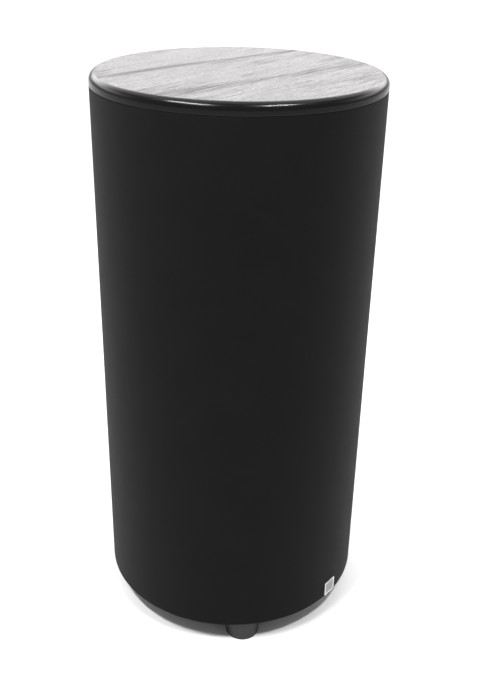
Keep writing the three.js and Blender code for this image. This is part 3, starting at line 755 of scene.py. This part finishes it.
def build_wadding():
    """A blanket round the upper tube, tufted on its inner face and open at the back for the port."""
    low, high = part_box("wadding")
    columns, rows = 150, 64
    start, reach = 135, 270  # degrees round the tube
    outer_r, inner_r = 0.1968, TUBE_INNER_R - 0.002
    thin, loft = 0.003, 0.0125
    bm = bmesh.new()
    grid = {}
    for k in range(rows + 1):
        for i in range(columns + 1):
            a = radians(start + reach * i / columns)
            z = low.z + (high.z - low.z) * k / rows
            edge = min(1.0, 24 * min(i, columns - i) / columns, 18 * min(k, rows - k) / rows)
            puff = sqrt(max(0.0, edge * (2 - edge)))
            tuft = noise.noise(Vector((cos(a) * 5, sin(a) * 5, z * 22)))
            face_r = inner_r - (thin + loft * puff * (0.85 + 0.3 * tuft))
            for side, r in enumerate((outer_r, face_r)):
                grid[i, k, side] = bm.verts.new((r * cos(a), r * sin(a), z))

    def quad(*corners):
        bm.faces.new([grid[corner] for corner in corners])

    for k in range(rows):
        for i in range(columns):
            for side in (0, 1):
                quad((i, k, side), (i + 1, k, side), (i + 1, k + 1, side), (i, k + 1, side))
    for k in range(rows):
        for i in (0, columns):
            quad((i, k, 0), (i, k, 1), (i, k + 1, 1), (i, k + 1, 0))
    for i in range(columns):
        for k in (0, rows):
            quad((i, k, 0), (i + 1, k, 0), (i + 1, k, 1), (i, k, 1))
    blanket = from_bmesh("wadding_blanket", bm)
    piece(blanket, FLUFF, "wadding", smooth=60)


# ---------------------------------------------------------------- woofer

FLANGE_Z = 35.4 * MM
CONE_R, ROLL_R = 114 * MM, 134 * MM


def flexible(thing, material, node):
    """A ring whose inner edge meets the cone and whose outer edge meets the cabinet: gives it its material
    and smooth shading, bakes its place into its mesh and hides its CAD node, putting it on no body.
    """
    thing.data.materials.append(material)
    thing.data.shade_smooth()
    thing.data.set_sharp_from_angle(angle=radians(40))
    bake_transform(thing)
    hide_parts(node)


def build_basket():
    top, corner, rim_r = FLANGE_Z + 5 * MM, 0.8 * MM, 151.2 * MM
    flange = [(ROLL_R, FLANGE_Z), (rim_r, FLANGE_Z), *arc(rim_r, FLANGE_Z + corner, corner, -90, 0, 4)]
    flange += [(rim_r + corner, top), (ROLL_R, top)]
    cup = [(66, 90), (79, 90), (84, 114), (84, 119), (40, 119), (40, 115), (74, 115), (74, 95.2), (66, 95.2)]
    side = [(135, 38), (139, 38), (139, 52), (83, 118.5), (76, 118.5), (76, 92), (135, 46)]
    parts = [lathe("ring", flange, 160), lathe("cup", mm(cup))]
    for i in range(6):
        turn = turned(30 + 60 * i, "Z") @ turned(90, "X")
        parts.append(prism("spoke", mm(side), -8 * MM, 8 * MM, turn))
    piece(soften(merge("basket", parts), 0.6, 2, 50), POWDER, "woofer_basket")

    head = cross_screw("head", 4.4, 1.6, 2, 5.5)
    places = [moved(*polar(147 * MM, 22.5 + 45 * i), FLANGE_Z) for i in range(8)]
    piece(copies("woofer_screws", head, places), POWDER)


def build_surround():
    lip_top = FLANGE_Z - 0.3 * MM
    lip_low = lip_top - 1.2 * MM
    middle, roll = (CONE_R + ROLL_R) / 2, (ROLL_R - CONE_R) / 2
    profile = [(142 * MM, lip_low + 0.3 * MM), (142 * MM, lip_top)]
    profile += arc(middle, lip_top, roll - 1.2 * MM, 0, -180, 18)
    lap_r = CONE_R - 6 * MM
    profile += [(lap_r, lip_top), (lap_r, lip_low + 0.4 * MM), (lap_r + 0.6 * MM, lip_low)]
    profile += arc(middle, lip_low, roll, 180, 360, 20)
    profile += [(141.4 * MM, lip_low)]
    flexible(lathe("roll_surround", profile, 160), ROLL, "surround")


def build_cone():
    front = [(105, 35.4), (96, 40.6), (84, 48.1), (70, 57.3), (56, 66.9), (44, 75.0), (32.3, 82.2)]
    back = [(32.3, 85.8), (44, 77.7), (56, 69.5), (70, 59.8), (84, 50.5), (96, 42.7), (106, 37.2)]
    profile = [(113.5 * MM, FLANGE_Z), (113.5 * MM, FLANGE_Z + 1.8 * MM)]
    profile += mm(reversed(back)) + mm(reversed(front))
    piece(lathe("paper_cone", profile, 144), PULP, "cone", "cone")

    dome_r, rim_z, rise, thick = 46, 72.6, 13, 1

    def dome(outer_r):
        radii = [outer_r * i / 14 for i in range(15)]
        return [(r, rim_z - rise * (1 - (r / dome_r) ** 2)) for r in radii]

    outer, inner = dome(dome_r), [(r, z + thick) for r, z in dome(dome_r - 1)]
    piece(lathe("dust_dome", mm(outer + inner[::-1])), PULP, "dust_cap", "cone")
    piece(lathe("dome_adhesive", mm(arc(46.3, 71.9, 1.1, 0, 330, 11))), ROLL, body="cone")


def build_spider():
    middle_z, neck_r, waves_r, edge_r, half_thick = 96, 32.3, 65, 72, 0.35
    waves = []
    for i in range(61):
        share = i / 60
        height = 2 * sin(4 * pi * share) * min(1, 6 * (1 - share), 6 * share + 0.001)
        waves.append((neck_r + (waves_r - neck_r) * share, middle_z + height))
    waves.append((edge_r, middle_z))
    sheet = [(r, z - half_thick) for r, z in waves] + [(r, z + half_thick) for r, z in reversed(waves)]
    flexible(lathe("dipped_spider", mm(sheet)), SPIDER, "spider")


def build_motor():
    coil = [(31.2, 80), (32, 80), (32, 109), (33.6, 109), (33.6, 138), (32, 138), (32, 140), (31.2, 140)]
    piece(lathe("wound_coil", mm(coil)), WINDING, "voice_coil", "cone")
    plate = [(35.3, 119.3), (76, 119.3), (76, 127.3), (35.3, 127.3)]
    ferrite = [(46, 127.6), (88, 127.6), (88, 157.6), (46, 157.6)]
    yoke = [(9, 116), (29.8, 116), (29.8, 157.9), (76, 157.9), (76, 166.9), (9, 166.9)]
    for name, node, slot, material, points in (
        ("front_plate", "magnet_top_plate", "plated_steel", ZINC, plate),
        ("ferrite_ring", "magnet", "ferrite", FERRITE, ferrite),
        ("vented_yoke", "magnet_yoke", "plated_steel", ZINC, yoke),
    ):
        piece(soften(lathe(name, mm(points), 128), 0.8, 3), material, node)
    lead = [(20, 147.6, 166), (20, 147, 150), (16, 144, 124), (6, 139, 100), (0, 134.5, 88), (0, 132.3, 79)]
    path = smooth_path([Vector(p) * MM for p in lead], 40)
    piece(sweep("woofer_wire", path, 1.9 * MM, sides=16), WIRE, "woofer_lead")


def smooth_path(points, steps):
    """Points along a smooth line through the given ones."""
    ends = [points[0] * 2 - points[1], *points, points[-1] * 2 - points[-2]]
    line = []
    for i in range(steps + 1):
        along = min(i / steps * (len(points) - 1), len(points) - 1.000001)
        k, t = int(along), along - int(along)
        a, b, c, d = ends[k : k + 4]
        square, cube = 2 * a - 5 * b + 4 * c - d, 3 * b - a - 3 * c + d
        line.append(0.5 * (2 * b + (c - a) * t + square * t**2 + cube * t**3))
    return line


# ---------------------------------------------------------------- port

# Local +Z points out of the back and +Y up.
BACK = Matrix(((-1, 0, 0, 0), (0, 0, 1, 0), (0, 1, 0, 0), (0, 0, 0, 1)))


def build_port():
    bore, wall = 44.5 * MM, 3.5 * MM
    stub, lip = 0.15, 72 * MM
    bell_w, bell_h = 15 * MM, 30 * MM
    bell_low = PORT_FACE_Y - bell_h
    quarter = [pi / 2 * i / 16 for i in range(17)]
    bell = [(bore + bell_w * (1 - cos(a)), bell_low + bell_h * sin(a)) for a in quarter]
    rim = arc(lip - 2.2 * MM, PORT_FACE_Y - 2.2 * MM, 2.2 * MM, 90, 0, 6)
    profile = [(bore, stub), (bore, bell_low - MM), *bell[:-1], (bore + 16 * MM, PORT_FACE_Y), *rim]
    profile += [(lip, PORT_FACE_Y - 20 * MM), (63.5 * MM, PORT_FACE_Y - 20 * MM)]
    profile += [(bore + wall, bell_low - 4 * MM), (bore + wall, stub)]
    mouth = lathe("flared_mouth", profile, 160, moved(0, 0, PORT_Z) @ BACK)
    wall_solid = lathe("wall", rod(OUTER_R + 0.3 * MM, 0.4, 0.6), 256)
    carve(wall_solid, [port_cutter(64.2 * MM)])
    carve(mouth, [wall_solid])
    piece(mouth, PORT, "port_mouth")

    start, bend = stub - 0.3 * MM, 75 * MM
    riser_y = start - 4 * MM - bend
    turn = arc(start - 4 * MM, PORT_Z + bend, bend, 270, 180, 30)
    rise_top = PORT_Z + bend + 4 * MM
    path = [(0, start, PORT_Z), *[(0, y, z) for y, z in turn], (0, riser_y, rise_top)]
    piece(sweep("bend_pipe", path, bore + wall, bore, 72), PORT, "port_bend")
    at_riser = moved(0, riser_y, 0)
    low, high = rise_top + 0.3 * MM, 0.745
    riser = [(bore, low), (bore + wall, low), (bore + wall, high), (bore, high)]
    piece(lathe("riser_pipe", riser, matrix=at_riser), PORT, "port_riser")
    low = high + 0.3 * MM
    curve = arc(bore + 18 * MM, low + 6 * MM, 18 * MM, 180, 90, 14)
    outside = [(r + 2.8 * MM, z - 2.8 * MM) for r, z in reversed(curve)]
    flare = lathe("inner_flare", [(bore, low), *curve, *outside, (bore + wall, low)], 96, at_riser)
    piece(flare, PORT, "port_inner_flare")


# ---------------------------------------------------------------- amplifier

PLATE_HALF_W, PLATE_HALF_H = 97 * MM, 150 * MM
PLACES = {
    "led": (0, 357),
    "gain": (-56, 318),
    "phase": (0, 318),
    "lowpass": (56, 318),
    "rca": (-52, 243),
    "trigger": (2, 252),
    "auto": (52, 248),
    "inlet": (-40, 126),
    "rocker": (24, 126),
    "fuse": (66, 126),
}
KNOBS = {name: f"{name}_knob" for name in ("gain", "phase", "lowpass")}
RCA_STEP = 9.5 * MM
RCA_PLACES = [(dx, dz) for dx in (-RCA_STEP, RCA_STEP) for dz in (-RCA_STEP, RCA_STEP)]
FLIP = turned(180, "X")


def on_plate(x, z):
    return moved(x, PLATE_Y, z) @ BACK


def at_place(name, dx=0.0, dz=0.0):
    x, z = PLACES[name]
    return on_plate(x * MM + dx, z * MM + dz)


def drill(name, radius, dx=0.0, dz=0.0):
    return lathe("drill", rod(radius, -6 * MM, 3 * MM), 48, at_place(name, dx, dz))


def build_frame():
    low, high = FRAME_LOW, FRAME_HIGH
    shell = lathe("amp_surround", rod(OUTER_R, low.z, high.z), 256)
    carve(shell, [block("keep", (low.x, low.y, 0), (high.x, 0.22, 0.5))], "INTERSECT")
    plate_thick, gasket, gap = 3 * MM, 1.4 * MM, 0.3 * MM
    ledge = PLATE_Y - plate_thick - 2 * gap - gasket
    window = rounded(PLATE_HALF_W + 1.3 * MM, PLATE_HALF_H + 1.3 * MM, 7 * MM)
    throat = rounded(PLATE_HALF_W - 12 * MM, PLATE_HALF_H - 12 * MM, 4 * MM)
    at_ledge = moved(0, ledge, PANEL_MIDDLE_Z) @ BACK
    opening = prism("window", window, 0, 60 * MM, at_ledge)
    carve(shell, [opening, prism("throat", throat, -40 * MM, 60 * MM, at_ledge)])
    piece(soften(shell, 0.9, 3, 40), HOUSING, "amplifier_frame", smooth=35)


def build_plate():
    at_plate = moved(0, PLATE_Y, PANEL_MIDDLE_Z) @ BACK
    plate = prism("amp_panel", rounded(PLATE_HALF_W, PLATE_HALF_H, 6 * MM, 8), -3 * MM, 0, at_plate)
    slots = [("auto", 2.2, 5), ("inlet", 14.3, 10.8), ("rocker", 9.8, 15.3)]
    cutters = [drill(k, 4.3 * MM) for k in (*KNOBS, "trigger")]
    cutters += [drill("rca", 5.6 * MM, dx, dz) for dx, dz in RCA_PLACES]
    cutters += [drill("led", 1.9 * MM), drill("fuse", 6.8 * MM)]
    for name, half_w, half_h in slots:
        cutters.append(slab("slot", half_w, half_h, 1, -6, 3, at_place(name)))
    carve(plate, cutters)
    soften(plate, 0.35, 2, 40)
    posts = []
    for x in (-74, 74):
        for z in (168, 342):
            post = rod(3.5 * MM, -29.7 * MM, -2.9 * MM)
            posts.append(lathe("post", post, 32, on_plate(x * MM, z * MM)))
    plate = merge("amp_panel", [plate, *posts])
    piece(plate, PANEL, "amplifier_plate")

    head = cross_screw("head", 3.6, 1.5, 1.6, 6)
    screws = [(x, z) for x in (-91, 0, 91) for z in (86, 374)]
    screws += [(x, z) for x in (-91, 91) for z in (182, 278)]
    places = [on_plate(x * MM, z * MM) @ FLIP @ turned(17 * x + 31 * z, "Z") for x, z in screws]
    piece(copies("panel_screws", head, places), POWDER)


def build_marks():
    """Plain printed scales: ticks round each knob, on and off signs, and lines under the sockets."""
    half, ink = 0.3, 0.12
    ticks = []
    for name in KNOBS:
        for i in range(11):
            place = at_place(name) @ turned(150 - 30 * i, "Z")
            length = 3.6 if i in (0, 5, 10) else 2.2
            ticks.append(block("tick", (-half, 14, 0), (half, 14 + length, ink), place, MM))
    for name, left, right, y in (
        ("rca", -17, 17, -20),
        ("trigger", -7, 7, -12),
        ("auto", -7, 7, -12),
        ("auto", 6, 9, 6),
        ("auto", 6, 9, -6),
    ):
        ticks.append(block("line", (left, y - half, 0), (right, y + half, ink), at_place(name), MM))
    piece(merge("panel_marks", ticks), MARKS, smooth=0)


def build_knobs():
    for name, body in KNOBS.items():
        profile = [(3.3, 3.3), (10.6, 3.3), (11, 3.7), (11, 4.6), (10.6, 5), (9.6, 5.4), (9.3, 6.2)]
        profile += [(9.0 - 0.012 * i * i, 6.2 + i) for i in range(1, 9)]
        profile += [(8.0, 15.4), (7.6, 16), (7, 16.3), (5, 16.1), (0, 16), (0, 13.3), (3.3, 13.3)]
        knob = lathe(f"fluted_{name}", mm(profile))
        for vertex in knob.data.vertices:
            r = vertex.co.xy.length
            if 6.3 * MM < vertex.co.z < 15.3 * MM and r > 6 * MM:
                flute = 0.28 * MM * max(0.0, cos(24 * atan2(vertex.co.y, vertex.co.x)))
                vertex.co.xy *= 1 - flute / r
        knob.data.transform(at_place(name))
        piece(knob, KNOB, f"knob_{name}", body, smooth=40)
        at_pointer = at_place(name) @ moved(0, 5 * MM, 15.75 * MM)
        line = slab(f"pointer_{name}", 0.55, 2.5, 0.3, 0, 0.5, at_pointer)
        piece(line, MARKS, body=body)


def build_rocker():
    flange = slab("flange", 12, 17.5, 2.4, 0.3, 2.3)
    carve(flange, [slab("well", 9.5, 15, 1, -19, 1)], "UNION")
    carve(flange, [slab("bore", 8, 14, 0.6, -9, 6)])
    soften(flange, 0.4, 3, 40)
    flange.name = "rocker_surround"
    flange.data.transform(at_place("rocker"))
    piece(flange, SOCKET, "rocker_bezel")

    crest, dip, length, half_w, ink = 4.4, 1.8, 24.8, 7.5, 0.25

    def face(z):
        """How far the paddle's hollow face stands out at a height."""
        return crest - dip * cos(pi * z / length)

    top = [(face(z), z) for z in [12.4 - length * i / 12 for i in range(13)]]
    side = [(-3, -12.2), *reversed(top), (-3, 12.2)]
    columns = Matrix(((0, 0, 1, 0), (1, 0, 0, 0), (0, 1, 0, 0), (0, 0, 0, 1)))
    x, z = PLACES["rocker"]
    tilt = moved(x * MM, PLATE_Y - MM, z * MM) @ turned(8, "X")
    paddle = prism("rocker_paddle", mm(side), -half_w * MM, half_w * MM, tilt @ columns)
    piece(soften(paddle, 0.5, 3, 40), GLOSS, "power_rocker", "rocker")
    bar = block("bar", (-0.4, -2, 0), (0.4, 2, ink), unit=MM)
    ring = lathe("ring", mm([(1.5, 0), (2.2, 0), (2.2, ink), (1.5, ink)]), 40)
    for sign, z in ((bar, -7.5), (ring, 7.5)):
        slope = dip * pi / length * sin(pi * z / length)
        turn = Matrix.Rotation(radians(-90) - atan2(slope, 1), 4, "X")
        sign.data.transform(moved(0, face(z) * MM, z * MM) @ turn)
    signs = merge("rocker_signs", [bar, ring])
    signs.data.transform(tilt)
    piece(signs, MARKS, body="rocker", smooth=0)


def hex_nut(radius, bore, top, place, edge):
    """A six-sided nut, in millimetres."""
    nut = prism("nut", mm([polar(radius, 60 * i) for i in range(6)]), 0.3 * MM, top * MM, place)
    return soften(carve(nut, [lathe("hole", mm(rod(bore, -1, 5)), 48, place)]), edge, 2, 40)


def build_phono():
    body = slab("phono_block", 20, 20, 2, -13.3, -3.3, at_place("rca"))
    piece(soften(body, 0.6), SOCKET, "rca_block")
    barrel = [(1.6, 0), (1.6, 9.2), (3.2, 9.2), (3.2, 3), (3.6, 3), (3.6, 9.3), (3.9, 9.5), (4.15, 9.2)]
    barrel += [(4.15, 2.2), (5.2, 1.6), (5.2, -4), (1.2, -4)]
    inset = [(1.7, 3), (3.15, 3), (3.15, 8.8), (1.7, 8.8)]
    washer = [(4.4, 0.35), (6.8, 0.35), (7.1, 0.7), (7.1, 1.6), (6.8, 1.9), (5.3, 1.9)]
    barrels, reds, whites = [], [], []
    for dx, dz in RCA_PLACES:
        place = at_place("rca", dx, dz)
        barrels.append(lathe("barrel", mm(barrel), 48, place))
        group = reds if dx < 0 else whites
        group += [lathe("inset", mm(inset), 40, place), lathe("washer", mm(washer), 48, place)]
    piece(merge("phono_barrels", barrels), NICKEL)
    piece(merge("phono_rings_red", reds), RED)
    piece(merge("phono_rings_white", whites), WHITE)


def build_jack_and_lever():
    tube = [(1.8, -8), (1.8, 2.9), (2.2, 3.4), (3.4, 3.5), (4, 3.1), (4, -10), (0, -10), (0, -8)]
    jack = lathe("jack_tube", mm(tube), 48, at_place("trigger"))
    nut = hex_nut(6, 3.7, 2.3, at_place("trigger"), 0.3)
    piece(merge("jack_and_nut", [jack, nut]), NICKEL, "trigger_jack")
    lever = slab("mode_lever", 1.9, 2, 0.6, -8, 3.5, at_place("auto", 0, -2 * MM))
    piece(soften(lever, 0.3, 3), KNOB, "auto_switch", "mode_lever")


def build_inlet():
    shell = slab("inlet_shell", 25, 13.5, 4, 0.3, 2.8)
    carve(shell, [slab("well", 14, 10.5, 1.5, -22, 2)], "UNION")
    keyed = [(-12.3, -8.2), (12.3, -8.2), (12.3, 3.4), (8.0, 8.2), (-8.0, 8.2), (-12.3, 3.4)]
    carve(shell, [prism("recess", mm(keyed), -16 * MM, 5 * MM)])
    soften(shell, 0.45, 3, 40)
    shell.data.transform(at_place("inlet"))
    piece(shell, SOCKET, "power_inlet")
    pins = []
    for x, y in ((-7, -1.6), (7, -1.6), (0, 2.4)):
        place = at_place("inlet") @ moved(x * MM, y * MM, 0)
        pins.append(soften(slab("blade", 1, 2, 0.4, -17, -3, place), 0.35))
    piece(merge("inlet_blades", pins), NICKEL)
    head = cross_screw("head", 2.9, 1.4, 1.4, 3)
    places = [at_place("inlet", dx) @ moved(0, 0, 2.8 * MM) @ FLIP for dx in (-20 * MM, 20 * MM)]
    piece(copies("inlet_screws", head, places), ZINC)


def build_fuse_and_lamp():
    holder = [(5, -12.5), (5, 3), (6.2, 3), (6.5, 2.7), (6.5, -14), (0, -14), (0, -12.5)]
    holder = lathe("fuse_tube", mm(holder), 64, at_place("fuse"))
    nut = hex_nut(8.5, 6.2, 3, at_place("fuse"), 0.35)
    piece(merge("fuse_socket", [holder, nut]), SOCKET, "fuse_holder")
    cap = [(0, -12), (4.7, -12), (4.7, 3.3), (6.1, 3.3), (6.5, 3.7), (6.5, 5.4), (5.9, 6), (0, 6)]
    cap = lathe("fuse_knob", mm(cap), 64)
    carve(cap, [block("slot", (-7, -0.6, 4.4), (7, 0.6, 7), unit=MM)])
    cap.data.transform(at_place("fuse"))
    piece(cap, KNOB, "fuse_cap", "fuse_carrier")
    lamp = [(0, -5), (2.4, -5), (2.4, -3.3), (1.6, -3.3), (1.6, 0.6), *arc(0, 0.6, 1.6, 10, 80, 5), (0, 2.2)]
    piece(lathe("status_lamp", mm(lamp), 32, at_place("led")), LENS, "status_led")


def dress_cad_nodes():
    """Materials for the CAD nodes that keep their own shape."""
    kept = {
        BOARD_WOOD: ["top_plug", "baffle_ring", "port_brace"],
        TUBE: ["cabinet_tube"],
        GASKET: ["woofer_gasket", "amplifier_gasket"],
        SOCKET: ["woofer_terminals"],
        MASK: ["circuit_board"],
        FINS: ["heatsink"],
        CORE: ["transformer"],
        SLEEVING: ["capacitor_1", "capacitor_2"],
        ZINC: ["auto_switch_body", *(f"pot_{name}" for name in KNOBS)],
        NICKEL: [f"shaft_{name}" for name in KNOBS],
    }
    for material, names in kept.items():
        for name in names:
            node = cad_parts[name]
            node.data.materials.clear()
            node.data.materials.append(material)


for build in (
    build_cap, build_sleeve, build_seam, build_badge, build_feet, build_baffle, build_wadding,
    build_basket, build_surround, build_cone, build_spider, build_motor, build_port, build_frame,
    build_plate, build_marks, build_knobs, build_rocker, build_phono, build_jack_and_lever,
    build_inlet, build_fuse_and_lamp, dress_cad_nodes,
):
    build()

bpy.context.view_layer.update()
